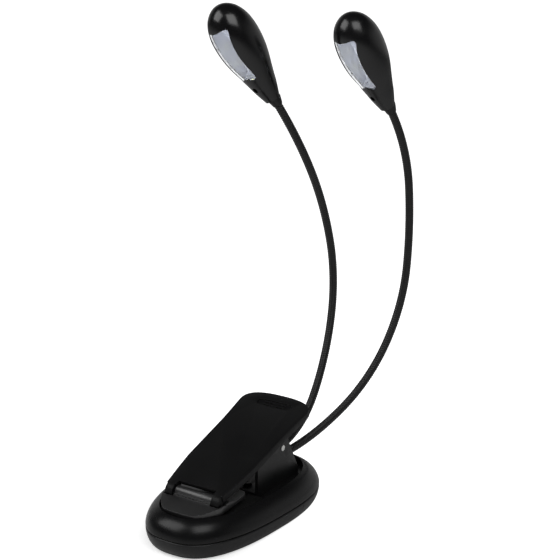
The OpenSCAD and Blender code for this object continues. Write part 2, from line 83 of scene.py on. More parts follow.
def finish_mesh(name, bm, body, material, replaces=(), smooth=SMOOTH_ANGLE):
    """Merges doubles, turns faces outwards, makes the object, rides it on a body and hides the imported parts it
    replaces.
    """
    bmesh.ops.remove_doubles(bm, verts=bm.verts, dist=1e-6)
    bmesh.ops.recalc_face_normals(bm, faces=bm.faces)
    mesh = bpy.data.meshes.new(name)
    bm.to_mesh(mesh)
    bm.free()
    piece = bpy.data.objects.new(name, mesh)
    bpy.context.collection.objects.link(piece)
    mesh.shade_smooth()
    mesh.set_sharp_from_angle(angle=smooth)
    mesh.materials.append(material)
    if body:
        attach(piece, body)
    if replaces:
        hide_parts(*replaces)
    print(f"{name}: {len(mesh.polygons)} faces")
    return piece


def grid_faces(rows, columns, wrap_rows=False, wrap_columns=True):
    """Index of each grid square's corners: (i, j), (i + 1, j), (i + 1, j + 1), (i, j + 1), wrapped where asked."""
    i = np.arange(rows if wrap_rows else rows - 1)[:, None]
    j = np.arange(columns if wrap_columns else columns - 1)[None, :]
    i2, j2 = (i + 1) % rows, (j + 1) % columns
    return np.stack([i * columns + j, i2 * columns + j, i2 * columns + j2, i * columns + j2], axis=-1).reshape(-1, 4)


def add_grid(bm, points, wrap_rows=False, wrap_columns=True):
    """Adds one grid of points in millimetres, shape (rows, columns, 3), to a bmesh in metres."""
    rows, columns = points.shape[:2]
    part = bpy.data.meshes.new("grid")
    part.from_pydata(points.reshape(-1, 3) * MM, [], grid_faces(rows, columns, wrap_rows, wrap_columns))
    bm.from_mesh(part)
    bpy.data.meshes.remove(part)


# %% [markdown]
# ## Shared finishes
# Moulded black plastic is never one flat black. The tool leaves a very fine texture, the gloss wanders a
# little, and dust and light handling marks settle on it. These three effects are node groups, built once
# and placed in each material with its own values.

# %% Node group helpers
def new_group(name, inputs, outputs):
    """A shader node group with float inputs {name: default} and outputs [(name, socket type)]."""
    group = bpy.data.node_groups.new(name, "ShaderNodeTree")
    for label, default in inputs.items():
        socket = group.interface.new_socket(label, in_out="INPUT", socket_type="NodeSocketFloat")
        socket.default_value = default
    for label, kind in outputs:
        group.interface.new_socket(label, in_out="OUTPUT", socket_type=kind)
    start, end = group.nodes.new("NodeGroupInput"), group.nodes.new("NodeGroupOutput")
    return group, start, end


def add_node(tree, kind, links=(), **values):
    """A node with its inputs set by name (spaces as underscores) and its sockets linked from (socket, input name)."""
    item = tree.nodes.new(kind)
    for key, value in values.items():
        if hasattr(item, key):
            setattr(item, key, value)
        else:
            item.inputs[key.replace("_", " ")].default_value = value
    for source, target in links:
        tree.links.new(source, item.inputs[target])
    return item


def math_node(tree, operation, first, second=None, clamp=False):
    """One Math node: first and second are sockets or numbers."""
    item = tree.nodes.new("ShaderNodeMath")
    item.operation, item.use_clamp = operation, clamp
    for index, value in enumerate((first, second)):
        if value is None:
            continue
        if isinstance(value, (int, float)):
            item.inputs[index].default_value = value
        else:
            tree.links.new(value, item.inputs[index])
    return item.outputs[0]


# %% Grain group: fine tool texture, wandering gloss
grain_group, g_in, g_out = new_group(
    "moulded_grain", {"Scale": 900.0, "Gloss low": 0.3, "Gloss high": 0.4},
    [("Height", "NodeSocketFloat"), ("Roughness", "NodeSocketFloat")])
g_place = add_node(grain_group, "ShaderNodeTexCoord")
g_fine = add_node(grain_group, "ShaderNodeTexNoise", Detail=3.0, Roughness=0.6,
                  links=[(g_place.outputs["Object"], "Vector"), (g_in.outputs["Scale"], "Scale")])
g_slow = add_node(grain_group, "ShaderNodeTexNoise", Scale=55.0, Detail=4.0,
                  links=[(g_place.outputs["Object"], "Vector")])
g_range = add_node(grain_group, "ShaderNodeMapRange",
                   links=[(g_slow.outputs["Fac"], "Value"), (g_in.outputs["Gloss low"], "To Min"),
                          (g_in.outputs["Gloss high"], "To Max")])
g_range.inputs["From Min"].default_value, g_range.inputs["From Max"].default_value = 0.35, 0.65
grain_group.links.new(g_fine.outputs["Fac"], g_out.inputs["Height"])
grain_group.links.new(g_range.outputs["Result"], g_out.inputs["Roughness"])
print("group moulded_grain")

# %% Dust group: sparse pale specks and soft film, more on faces that look up
dust_group, d_in, d_out = new_group("light_dust", {"Amount": 0.3}, [("Mask", "NodeSocketFloat")])
d_place = add_node(dust_group, "ShaderNodeTexCoord")
d_face = add_node(dust_group, "ShaderNodeNewGeometry")
d_up = add_node(dust_group, "ShaderNodeSeparateXYZ", links=[(d_face.outputs["Normal"], "Vector")])
d_speck = add_node(dust_group, "ShaderNodeTexNoise", Scale=1400.0, Detail=2.0,
                   links=[(d_place.outputs["Object"], "Vector")])
d_film = add_node(dust_group, "ShaderNodeTexNoise", Scale=40.0, Detail=5.0,
                  links=[(d_place.outputs["Object"], "Vector")])
speck_over = math_node(dust_group, "SUBTRACT", d_speck.outputs["Fac"], 0.66, True)
specks = math_node(dust_group, "MULTIPLY", speck_over, 5.0, True)
film_over = math_node(dust_group, "SUBTRACT", d_film.outputs["Fac"], 0.45, True)
film = math_node(dust_group, "MULTIPLY", film_over, 0.5, True)
facing = math_node(dust_group, "ADD", math_node(dust_group, "MULTIPLY", d_up.outputs["Z"], 0.6, True), 0.25, True)
dust = math_node(dust_group, "MULTIPLY", math_node(dust_group, "ADD", specks, film, True), facing)
dust_group.links.new(math_node(dust_group, "MULTIPLY", dust, d_in.outputs["Amount"], True), d_out.inputs["Mask"])
print("group light_dust")


# %% One maker for every plastic, rubber and metal finish
def finish(name, color, low, high, grain=900.0, bump=0.02, dust_amount=0.3, metallic=0.0, coat=0.0,
           coat_rough=0.1, specular=0.5, tint=1.25):
    """A Principled material: colour wanders between color and color * tint, gloss between low and high."""
    material = bpy.data.materials.new(name)
    material.use_nodes = True
    tree = material.node_tree
    shader = tree.nodes["Principled BSDF"]
    grain_node = add_node(tree, "ShaderNodeGroup", node_tree=grain_group)
    grain_node.inputs["Scale"].default_value = grain
    grain_node.inputs["Gloss low"].default_value = low
    grain_node.inputs["Gloss high"].default_value = high
    dust_node = add_node(tree, "ShaderNodeGroup", node_tree=dust_group)
    dust_node.inputs["Amount"].default_value = dust_amount
    place = add_node(tree, "ShaderNodeTexCoord")
    patches = add_node(tree, "ShaderNodeTexNoise", Scale=90.0, Detail=4.0, links=[(place.outputs["Object"], "Vector")])
    colours = add_node(tree, "ShaderNodeMix", data_type="RGBA", links=[(patches.outputs["Fac"], "Factor")])
    colours.inputs["A"].default_value = (*color, 1)
    colours.inputs["B"].default_value = (*[min(1, c * tint) for c in color], 1)
    dusty = add_node(tree, "ShaderNodeMix", data_type="RGBA", links=[(dust_node.outputs["Mask"], "Factor")])
    tree.links.new(colours.outputs["Result"], dusty.inputs["A"])
    dusty.inputs["B"].default_value = (0.42, 0.41, 0.39, 1)
    tree.links.new(dusty.outputs["Result"], shader.inputs["Base Color"])
    rougher = math_node(tree, "ADD", grain_node.outputs["Roughness"],
                        math_node(tree, "MULTIPLY", dust_node.outputs["Mask"], 0.5), True)
    tree.links.new(rougher, shader.inputs["Roughness"])
    relief = add_node(tree, "ShaderNodeBump", Strength=bump, Distance=0.0002,
                      links=[(grain_node.outputs["Height"], "Height")])
    tree.links.new(relief.outputs["Normal"], shader.inputs["Normal"])
    shader.inputs["Metallic"].default_value = metallic
    shader.inputs["Coat Weight"].default_value = coat
    shader.inputs["Coat Roughness"].default_value = coat_rough
    shader.inputs["Specular IOR Level"].default_value = specular
    return material


gloss_black = finish("gloss_black", (0.004, 0.004, 0.0045), 0.2, 0.26, bump=0.02, dust_amount=0.03)
rim_black = finish("rim_black", (0.004, 0.004, 0.0044), 0.24, 0.31, bump=0.03, dust_amount=0.04, specular=0.27)
satin_black = finish("satin_black", (0.006, 0.006, 0.0065), 0.34, 0.42, bump=0.08, dust_amount=0.04, specular=0.35)
matte_black = finish("matte_black", (0.006, 0.006, 0.0063), 0.4, 0.5, grain=1300.0, bump=0.15, dust_amount=0.05)
lever_black = finish("lever_black", (0.0045, 0.0045, 0.0048), 0.44, 0.54, grain=1300.0, bump=0.12,
                     dust_amount=0.03, specular=0.2)
foot_black = finish("foot_black", (0.012, 0.012, 0.0125), 0.34, 0.42, grain=1300.0, bump=0.1,
                    dust_amount=0.12, specular=1.0)
rubber_black = finish("rubber_black", (0.004, 0.004, 0.004), 0.75, 0.9, grain=1700.0, bump=0.3,
                      dust_amount=0.1, specular=0.2)
neck_black = finish("neck_black", (0.006, 0.006, 0.0063), 0.3, 0.4, bump=0.08, dust_amount=0.05, specular=0.45)
bright_steel = finish("bright_steel", (0.72, 0.72, 0.7), 0.16, 0.28, bump=0.05, dust_amount=0.05, metallic=1.0,
                      tint=1.1)
grey_steel = finish("grey_steel", (0.4, 0.4, 0.41), 0.3, 0.42, bump=0.08, dust_amount=0.1, metallic=1.0)
black_steel = finish("black_steel", (0.02, 0.02, 0.02), 0.35, 0.45, dust_amount=0.05, metallic=0.6)
cell_wrap = finish("cell_wrap", (0.03, 0.11, 0.08), 0.2, 0.3, dust_amount=0.05)
board_green = finish("board_green", (0.02, 0.1, 0.04), 0.3, 0.4, dust_amount=0.1)
part_black = finish("part_black", (0.03, 0.03, 0.03), 0.4, 0.5, dust_amount=0.1)
board_white = finish("board_white", (0.7, 0.7, 0.68), 0.3, 0.4, dust_amount=0.02)
reflector_silver = finish("reflector_silver", (0.58, 0.59, 0.64), 0.3, 0.42, grain=500.0, bump=0.04, dust_amount=0.02,
                          metallic=0.25, tint=1.05)
# Near-black with no gloss: painted shade for the mouth of each head's screw hole.
hole_shade_black = finish("hole_shade_black", (0.0012, 0.0012, 0.0012), 0.9, 1.0, dust_amount=0.0, specular=0.0)
led_yellow = finish("led_yellow", (0.85, 0.8, 0.5), 0.12, 0.2, dust_amount=0.0, coat=0.5)
print("finishes:", len(bpy.data.materials))

# %% Clear window plastic
lens_clear = bpy.data.materials.new("lens_clear")
lens_clear.use_nodes = True
lens_tree = lens_clear.node_tree
lens_shader = lens_tree.nodes["Principled BSDF"]
lens_grain = add_node(lens_tree, "ShaderNodeGroup", node_tree=grain_group)
lens_grain.inputs["Gloss low"].default_value, lens_grain.inputs["Gloss high"].default_value = 0.02, 0.07
lens_tree.links.new(lens_grain.outputs["Roughness"], lens_shader.inputs["Roughness"])
lens_shader.inputs["Base Color"].default_value = (0.87, 0.885, 0.9, 1)
lens_shader.inputs["Transmission Weight"].default_value = 1.0
lens_shader.inputs["IOR"].default_value = 1.2
print("lens_clear")

# %% Finishes for the parts that keep their engineering shape
CAD_FINISH = {
    "battery_tray": part_black, "battery_left": cell_wrap, "battery_middle": cell_wrap, "battery_right": cell_wrap,
    "battery_springs": bright_steel, "battery_contacts": bright_steel, "circuit_board": board_green,
    "board_parts": part_black, "base_screws": grey_steel, "grip_pad": rubber_black, "neck_clamp": grey_steel,
    "bracket_screws": black_steel, "clip_pin": bright_steel, "jaw_pin": bright_steel, "jaw_pad": rubber_black,
    "_head_board": board_white, "_head_switch": part_black, "_head_screw": grey_steel, "_neck_end": neck_black,
}
for node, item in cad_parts.items():
    chosen = next((material for key, material in CAD_FINISH.items()
                   if node == key or (key[0] == "_" and node.endswith(key))), satin_black)
    item.data.materials.clear()
    item.data.materials.append(chosen)
print("finished", len(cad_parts), "packed nodes")

# %% [markdown]
# ## The base
# Seen from above the base is a superellipse: rounder than a box, squarer than an oval, and a little wider
# at the rear. Seen from the end the rim is a quarter ellipse. A closed profile carried round the outline
# gives the whole upper shell, outside, recess and inside, with no corner left to shade badly.

# %% Base outline and its profiles
HALF_LENGTH, HALF_WIDTH, SQUARENESS, EGG = 50.0, 29.5, 2.65, 0.13
SEAM_Z, RIM_HEIGHT, SHOULDER, BELLY, WALL = 8.8, 10.0, 10.2, 5.3, 1.6
RIM_WIDTH, FLOOR_Z = 7.0, 14.6
AROUND = 320


def outline(inset, scale=1.0, count=AROUND):
    """Superellipse |x/b|^n + |y/a|^n = 1, both half axes less the inset, x widened in step with y."""
    angle = np.linspace(0, 2 * np.pi, count, endpoint=False)
    c, s = np.cos(angle), np.sin(angle)
    y = (HALF_LENGTH - inset) * np.sign(s) * np.abs(s) ** (2 / SQUARENESS)
    x = (HALF_WIDTH - inset) * np.sign(c) * np.abs(c) ** (2 / SQUARENESS) * (1 + EGG * y / HALF_LENGTH)
    return np.stack([x * scale, y * scale], axis=1)


def carried_round(profile):
    """Points of a profile of (inset, height, scale) rows carried round the base outline."""
    rings = [np.column_stack([outline(inset, scale), np.full(AROUND, z)]) for inset, z, scale in profile]
    return np.array(rings)


def shoulder(grow, start, stop, steps=22):
    """Quarter ellipse of the rim between two angles, moved inwards by grow."""
    a = np.radians(np.linspace(start, stop, steps))
    return [(grow + SHOULDER * (1 - c), SEAM_Z + (RIM_HEIGHT - grow) * s, 1.0) for c, s in zip(np.cos(a), np.sin(a))]


def belly(grow, start, stop, steps=14):
    """Quarter ellipse under the parting line between two angles, moved inwards by grow."""
    a = np.radians(np.linspace(start, stop, steps))
    return [(grow + BELLY * (1 - c), SEAM_Z - (SEAM_Z - grow) * s, 1.0) for c, s in zip(np.cos(a), np.sin(a))]


# %% Upper shell
EDGE_ANGLE = math.degrees(math.acos(1 - (RIM_WIDTH - 0.5) / SHOULDER))
edge_z = SEAM_Z + RIM_HEIGHT * math.sin(math.radians(EDGE_ANGLE))
seam_top = ((WALL, 0.05), (0.9, 0.05), (0.45, 0.15), (0.2, 0.35), (0.08, 0.6))
top_profile = [(inset, SEAM_Z + up, 1) for inset, up in seam_top]
top_profile += shoulder(0, 5, EDGE_ANGLE, 26)
top_profile += [(RIM_WIDTH - 0.5 + 0.5 * math.sin(a), edge_z + 0.1 - 0.42 * (1 - math.cos(a)), 1)
                for a in np.radians([25, 45, 65, 85])]
top_profile += [(RIM_WIDTH, z, 1) for z in (17.4, 16.4, 15.2)]
top_profile += [(RIM_WIDTH + 0.15, 14.75, 1), (RIM_WIDTH + 0.5, FLOOR_Z, 1)]
top_profile += [(RIM_WIDTH + 0.5, FLOOR_Z, f) for f in (0.9, 0.7, 0.4, 0.0)]
top_profile += [(RIM_WIDTH + 0.5, FLOOR_Z - WALL, f) for f in (0.0, 0.4, 0.7, 0.9)]
top_profile += [(RIM_WIDTH - WALL + 0.1, FLOOR_Z - WALL, 1), (RIM_WIDTH - WALL + 0.1, 15.9, 1)]
top_profile += shoulder(WALL, 52, 3, 12)
shell = bmesh.new()
add_grid(shell, carried_round(top_profile), wrap_rows=True)

# %% Neck boss: a rounded block
def superquadric(centre, half, power, steps=48):
    """Rounded block |x/a|^n + |y/b|^n + |z/c|^n = 1 as a grid of latitude and longitude."""
    lat = np.linspace(-np.pi / 2, np.pi / 2, steps)[:, None]
    lon = np.linspace(0, 2 * np.pi, steps * 2, endpoint=False)[None, :]

    def bend(v):
        return np.sign(v) * np.abs(v) ** (2 / power)

    shape = [bend(np.cos(lat)) * bend(np.cos(lon)), bend(np.cos(lat)) * bend(np.sin(lon)), bend(np.sin(lat)) + 0 * lon]
    return np.stack([c + h * v for c, h, v in zip(centre, half, shape)], axis=-1)


add_grid(shell, superquadric((0, 39.3, 16.3), (8.4, 4.4, 5.0), 3.2))
finish_mesh("upper_shell", shell, "base", rim_black, replaces=["base_top_shell"])

# %% Lower shell: tail cover and sliding door, cut apart by one upright plane
DOOR_END_Y, HALF_GAP = 16.5, 0.1


def lower_piece(name, keep_front, replaces):
    """The closed lower shell, cut at the door's end; the cut is filled, so each piece is closed."""
    seam_below = ((WALL, 0.1), (0.9, 0.1), (0.45, 0.2), (0.2, 0.4), (0.1, 0.55))
    profile = [(inset, SEAM_Z - down, 1) for inset, down in seam_below]
    profile += belly(0.05, 4, 86, 24) + [(BELLY + 0.6, 0.0, 1)] + [(BELLY + 0.6, 0.0, f) for f in (0.8, 0.5, 0.0)]
    profile += [(BELLY + 0.6, WALL, f) for f in (0.0, 0.5, 0.8)] + belly(WALL, 88, 3, 12)
    bm = bmesh.new()
    add_grid(bm, carried_round(profile), wrap_rows=True)
    bmesh.ops.remove_doubles(bm, verts=bm.verts, dist=1e-6)
    bmesh.ops.recalc_face_normals(bm, faces=bm.faces)
    side = 1 if keep_front else -1
    cut_y = (DOOR_END_Y - side * HALF_GAP) * MM
    cut = bmesh.ops.bisect_plane(bm, geom=bm.verts[:] + bm.edges[:] + bm.faces[:], plane_co=(0, cut_y, 0),
                                 plane_no=(0, side, 0), clear_outer=True)
    edges = [e for e in cut["geom_cut"] if isinstance(e, bmesh.types.BMEdge)]
    bmesh.ops.triangle_fill(bm, edges=edges, use_beauty=True)
    body = "battery_door" if keep_front else "base"
    return finish_mesh(name, bm, body, satin_black, replaces=[replaces])


lower_piece("door_shell", True, "battery_door")
lower_piece("tail_shell", False, "base_tail_cover")

# %% [markdown]
# ## The clip
# The bracket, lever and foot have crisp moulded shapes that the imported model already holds. Real moulded
# edges are never sharp: a small round catches a thin bright line of light. So each is copied, its loose
# triangles are merged, flat areas are joined, and a Bevel modifier rounds the edges.

# %% Copy with rounded edges
def rounded_copy(name, node, body, material, width, segments=3):
    """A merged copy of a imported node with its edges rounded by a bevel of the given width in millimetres."""
    bm = bmesh.new()
    bm.from_mesh(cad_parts[node].data)
    bmesh.ops.remove_doubles(bm, verts=bm.verts, dist=2e-6)
    bmesh.ops.dissolve_limit(bm, angle_limit=math.radians(1.5), verts=bm.verts, edges=bm.edges)
    mesh = bpy.data.meshes.new(name)
    bm.to_mesh(mesh)
    bm.free()
    piece = bpy.data.objects.new(name, mesh)
    bpy.context.collection.objects.link(piece)
    mesh.materials.clear()
    mesh.materials.append(material)
    mesh.shade_smooth()
    bevel = piece.modifiers.new("edges", "BEVEL")
    bevel.width, bevel.segments = width * MM, segments
    bevel.limit_method, bevel.angle_limit = "ANGLE", math.radians(34)
    bevel.harden_normals = True
    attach(piece, body)
    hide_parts(node)
    print(f"{name}: {len(mesh.polygons)} faces before its bevel")
    return piece


rounded_copy("bracket", "clip_bracket", "base", matte_black, 0.25)
rounded_copy("lever", "clip_lever", "lever", lever_black, 0.35)
rounded_copy("foot", "jaw_foot", "jaw", foot_black, 0.18)

# %% [markdown]
# ## The clip spring
# Two coils of round wire sit on the clip pin. The lower legs stay with the base and the upper legs turn
# with the lever, so they are separate pieces that ride on different bodies.

# %% Wire along a path
def tube(path, radius, sides=12):
    """Rings of points round a path: centre + r (u cos a + v sin a), with u and v carried along the path."""
    path = np.asarray(path, float)
    tangent = np.gradient(path, axis=0)
    tangent /= np.linalg.norm(tangent, axis=1, keepdims=True)
    helper = np.where(np.abs(tangent[:, :1]) > 0.9, [[0, 1, 0]], [[1, 0, 0]])
    u = np.cross(tangent, helper)
    u /= np.linalg.norm(u, axis=1, keepdims=True)
    v = np.cross(tangent, u)
    a = np.linspace(0, 2 * np.pi, sides, endpoint=False)[None, :, None]
    body = path[:, None] + radius * (np.cos(a) * u[:, None] + np.sin(a) * v[:, None])
    ends = [np.repeat(path[k][None, None], sides, axis=1) for k in (0, -1)]
    return np.concatenate([ends[0], body, ends[1]])


PIN_Y, PIN_Z = 20.4, 31.7
COIL_R, WIRE_R, COIL_TURNS = 2.7, 0.6, 4
springs = {"base": bmesh.new(), "lever": bmesh.new()}
for side in (-1, 1):
    t = np.linspace(0, 1, 160)
    a = np.radians(60 + 360 * COIL_TURNS * t)
    x = side * (2.4 + COIL_TURNS * 1.5 * (1 - t))
    coil = np.column_stack([x, PIN_Y + COIL_R * np.cos(a), PIN_Z - COIL_R * np.sin(a)])
    low_end = [side * 8.4, PIN_Y + 14.6, 17.1]
    leg = np.linspace(low_end, coil[0], 10)[:-1]
    add_grid(springs["base"], tube(np.concatenate([leg, coil]), WIRE_R))
    top_end = [side * 2.4, PIN_Y + 15.5, PIN_Z + 15.5 * math.tan(math.radians(16)) + 4.9]
    add_grid(springs["lever"], tube(np.linspace(coil[-1], top_end, 10), WIRE_R))
finish_mesh("spring_coils", springs["base"], "base", bright_steel, replaces=["clip_spring"])
finish_mesh("spring_legs", springs["lever"], "lever", bright_steel)

# %% [markdown]
# ## The necks
# Each neck is a metal core in a sleeve wound from strip, so its surface is one fine spiral ridge. It bends
# in five arcs, worked out with the same chain of turns as the imported links. Each length of sleeve runs from
# the middle of one link to the middle of the next, and stays fixed in place.

# %% Chain of arcs
NECK_LENGTH, NECK_R, NECK_RISE = 203.0, 2.05, 3.0
ROOT_Y, ROOT_Z = 43.5, 18.4
NECKS = {
    "left": dict(x=-3.0, turn=2.0, arcs=[(44, -98), (33, -83), (26, -95), (14, -100), (19, 159)]),
    "right": dict(x=3.0, turn=8.0, arcs=[(33, -68), (32, -86), (25, -89), (7, -132), (23, -97)]),
}
LINKS = 5
RIDGE_PITCH, RIDGE_DEPTH = 1.15, 0.16


def turn_z(degrees):
    """Turn about Z as a 4 by 4 matrix."""
    c, s = math.cos(math.radians(degrees)), math.sin(math.radians(degrees))
    return np.array([[c, -s, 0, 0], [s, c, 0, 0], [0, 0, 1, 0], [0, 0, 0, 1.0]])


def arc(bend, part=1.0):
    """Step along part of an arc that starts along Z and bends by bend degrees towards X."""
    full = math.radians(bend)
    radius, a = NECK_LENGTH / LINKS / full, full * part
    c, s = math.cos(a), math.sin(a)
    return np.array([[c, 0, s, radius * (1 - c)], [0, 1, 0, 0], [-s, 0, c, radius * s], [0, 0, 0, 1.0]])


def neck_frames(neck):
    """Frames at the root, the four junctions and the end of a neck: Z along it."""
    a, e = math.radians(neck["turn"]), math.radians(NECK_RISE)
    along = np.array([math.sin(a) * math.cos(e), math.cos(a) * math.cos(e), math.sin(e)])
    level = np.array([math.cos(a), -math.sin(a), 0])
    root = np.eye(4)
    root[:3, 0], root[:3, 1], root[:3, 2] = level, np.cross(along, level), along
    root[:3, 3] = (neck["x"], ROOT_Y, ROOT_Z)
    frames = [root]
    for bend, towards in neck["arcs"]:
        frames.append(frames[-1] @ turn_z(towards) @ arc(bend) @ turn_z(-towards))
    return frames


def neck_points(neck, frames, distance, sides=20):
    """Ridged sleeve: rings at each distance along the neck, radius r - d cos^4 of the spiral's phase."""
    step = NECK_LENGTH / LINKS
    rings = []
    angle = np.linspace(0, 2 * np.pi, sides, endpoint=False)
    for s in distance:
        link = min(max(int(s // step), 0), LINKS - 1)
        bend, towards = neck["arcs"][link]
        if s < 0:
            place = frames[0] @ np.array([[1, 0, 0, 0], [0, 1, 0, 0], [0, 0, 1, s], [0, 0, 0, 1.0]])
        else:
            place = frames[link] @ turn_z(towards) @ arc(bend, s / step - link) @ turn_z(-towards)
        phase = 2 * np.pi * s / RIDGE_PITCH - angle
        r = NECK_R - RIDGE_DEPTH * np.cos(phase / 2) ** 4
        ring = np.stack([r * np.cos(angle), r * np.sin(angle), np.zeros(sides), np.ones(sides)])
        rings.append((place @ ring)[:3].T)
    return np.array(rings)


# %% Sleeves
HEAD_IN, ROOT_IN, SAMPLES, BLEND_REACH = 1.2, -3.0, 8, 14.0
half_link = NECK_LENGTH / LINKS / 2
neck_ends = {}
for side, neck in NECKS.items():
    frames = neck_frames(neck)
    neck_ends[side] = frames[-1]
    stops = [ROOT_IN] + [half_link * (2 * k + 1) for k in range(LINKS)] + [NECK_LENGTH + HEAD_IN]
    for k in range(LINKS + 1):
        count = int((stops[k + 1] - stops[k]) / RIDGE_PITCH * SAMPLES) + 1
        distance = np.linspace(stops[k], stops[k + 1], count)
        sleeve = bmesh.new()
        points = neck_points(neck, frames, distance)
        caps = [np.repeat(points[end].mean(axis=0)[None, None], points.shape[1], axis=1) for end in (0, -1)]
        add_grid(sleeve, np.concatenate([caps[0], points, caps[1]]))
        links = [f"{side}_neck_{n}" for n in ([k + 1] if k < LINKS else [])]
        piece = finish_mesh(f"{side}_sleeve_{k}", sleeve, None, neck_black, replaces=links)
        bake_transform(piece)
print("necks:", {side: [round(float(v), 1) for v in end[:3, 3]] for side, end in neck_ends.items()})

# %% [markdown]
# ## The heads
# A head is a teardrop turned on a lathe and shifted a little towards its window. Its front half carries a
# long window with a hollowed top edge. Instead of cutting a hole, the front surface is a set of rings that
# start on the window's edge and end on the parting line, all laid on the teardrop: the gloss then runs
# right up to the window with no dents.

# %% Teardrop surface
HEAD_TURN = {"left": -99.0, "right": -82.0}
HEAD_OFFSET = 0.9
SHELL_WALL = 1.5
LATHE = np.array([[4.4, 3.7], [6, 4.2], [9, 5.2], [12, 6.1], [15, 6.85], [20, 8.2], [25, 9.6], [30, 10.65],
                  [35, 11.2], [39, 11.3], [43, 11.0], [46, 10.4], [49, 9.3], [51.5, 7.9], [53.5, 6.1],
                  [55, 4.0], [55.8, 2.0], [56, 0]])


def lathe_curve(count=400):
    """Smooth curve through the lathe points: cubic in the length along them, so the round end closes square."""
    chord = np.r_[0, np.cumsum(np.hypot(*np.diff(LATHE, axis=0).T))]
    t = np.linspace(0, chord[-1], count)
    slope = np.gradient(LATHE, chord, axis=0)
    slope[-1] = (0, -1)
    k = np.clip(np.searchsorted(chord, t, side="right") - 1, 0, len(chord) - 2)
    width = (chord[k + 1] - chord[k])[:, None]
    u = ((t - chord[k])[:, None]) / width
    return ((2 * u**3 - 3 * u**2 + 1) * LATHE[k] + (u**3 - 2 * u**2 + u) * width * slope[k]
            + (3 * u**2 - 2 * u**3) * LATHE[k + 1] + (u**3 - u**2) * width * slope[k + 1])


CURVE = lathe_curve()
CURVE_T = np.linspace(0, 1, len(CURVE))


def along_at(s):
    """Curve parameter where the teardrop is s millimetres from the neck."""
    return np.interp(s, CURVE[:, 0], CURVE_T)


def on_teardrop(t, angle, inwards=0.0):
    """Point of the teardrop at curve parameter t and angle round its length, moved inwards along its normal."""
    s, r = np.interp(t, CURVE_T, CURVE[:, 0]), np.interp(t, CURVE_T, CURVE[:, 1])
    slope = np.gradient(CURVE, axis=0)
    ds, dr = np.interp(t, CURVE_T, slope[:, 0]), np.interp(t, CURVE_T, slope[:, 1])
    size = np.hypot(ds, dr)
    s, r = s + inwards * dr / size, np.maximum(r - inwards * ds / size, 0)
    return np.stack([HEAD_OFFSET + r * np.cos(angle), r * np.sin(angle), s], axis=-1)


WINDOW_MIDDLE = 34.0
WINDOW_SIDE = np.array([[0, 46.5], [1.5, 46.52], [3, 46.65], [4.5, 46.85], [5.6, 46.9], [6.5, 46.7], [7.1, 46.0],
                        [7.25, 44.8],
                        [6.9, 42], [6.5, 38], [6.2, 33], [6.0, 28], [5.8, 24], [5.6, 21], [5.2, 19.4], [4.4, 18.9],
                        [3, 19.3], [1.5, 20.1], [0, 20.5]])


def window_edge(count=200, grow=0.0):
    """Closed window outline as (curve parameter, angle), starting at the middle of its top."""
    loop = np.concatenate([WINDOW_SIDE, (WINDOW_SIDE * [-1, 1])[::-1][1:]])
    length = np.r_[0, np.cumsum(np.hypot(*np.diff(loop, axis=0).T))]
    place = np.linspace(0, length[-1], count, endpoint=False)
    y, s = np.interp(place, length, loop[:, 0]), np.interp(place, length, loop[:, 1])
    size = np.hypot(y, s - WINDOW_MIDDLE)
    y, s = y + grow * y / size, s + grow * (s - WINDOW_MIDDLE) / size
    r = np.interp(s, CURVE[:, 0], CURVE[:, 1])
    return np.column_stack([along_at(s), np.arcsin(np.clip(y / r, -1, 1))])


def seam_edge(count=200):
    """The front half's border as (curve parameter, angle): the window's outline pushed out to the parting line."""
    edge = window_edge(count)
    y = edge[:, 1] / 0.7
    t_mid = along_at(WINDOW_MIDDLE)
    direction = np.column_stack([(edge[:, 0] - t_mid) * 2.0, y])
    grow = np.minimum(np.where(direction[:, 0] > 0, (1 - t_mid), t_mid) / np.maximum(np.abs(direction[:, 0]), 1e-9),
                      (np.pi / 2) / np.maximum(np.abs(direction[:, 1]), 1e-9))
    t = t_mid + direction[:, 0] * grow
    return np.column_stack([np.clip(t, 0, 1), np.clip(direction[:, 1] * grow, -np.pi / 2, np.pi / 2)])


# %% Head pieces
def on_head(side, points):
    """Moves points from the head's own frame, Z from the neck and X out of the window, to the lamp's frame."""
    place = neck_ends[side] @ turn_z(HEAD_TURN[side])
    return points @ place[:3, :3].T + place[:3, 3]


def front_shell(side):
    """Rings from the window's edge to the parting line, with a short wall turned in at the window and the seam."""
    inner, outer = window_edge(400), seam_edge(400)
    rows = [on_teardrop(inner[:, 0], inner[:, 1], depth) for depth in (SHELL_WALL, 0.8, 0.25)]
    rows.append(on_teardrop(*window_edge(400, 0.05).T, 0.06))
    start = window_edge(400, 0.2)
    rows += [on_teardrop(*((1 - f) * start + f * outer).T) for f in np.linspace(0, 1, 40) ** 1.15]
    rows.append(on_teardrop(outer[:, 0], outer[:, 1], 0.6))
    rows.append(on_teardrop(outer[:, 0], outer[:, 1], SHELL_WALL))
    rows += [on_teardrop(*((1 - f) * inner + f * outer).T, SHELL_WALL) for f in np.linspace(1, 0, 14)[1:-1]]
    bm = bmesh.new()
    add_grid(bm, on_head(side, np.array(rows)), wrap_rows=True)
    return finish_mesh(f"{side}_front_shell", bm, f"{side}_head", gloss_black,
                       replaces=[f"{side}_head_front"])


def back_shell(side):
    """Half of the teardrop behind the parting line, inside and outside."""
    t, angle = np.linspace(0, 1, 120)[:, None], np.linspace(np.pi / 2, 3 * np.pi / 2, 90)[None, :]
    t, angle = np.broadcast_arrays(t, angle)
    outside, inside = on_teardrop(t, angle), on_teardrop(t, angle, SHELL_WALL)
    bm = bmesh.new()
    add_grid(bm, on_head(side, np.concatenate([outside, inside[:, ::-1]], axis=1)), wrap_columns=True)
    bmesh.ops.holes_fill(bm, edges=[e for e in bm.edges if e.is_boundary], sides=0)
    return finish_mesh(f"{side}_back_shell", bm, f"{side}_head", gloss_black,
                       replaces=[f"{side}_head_back"])


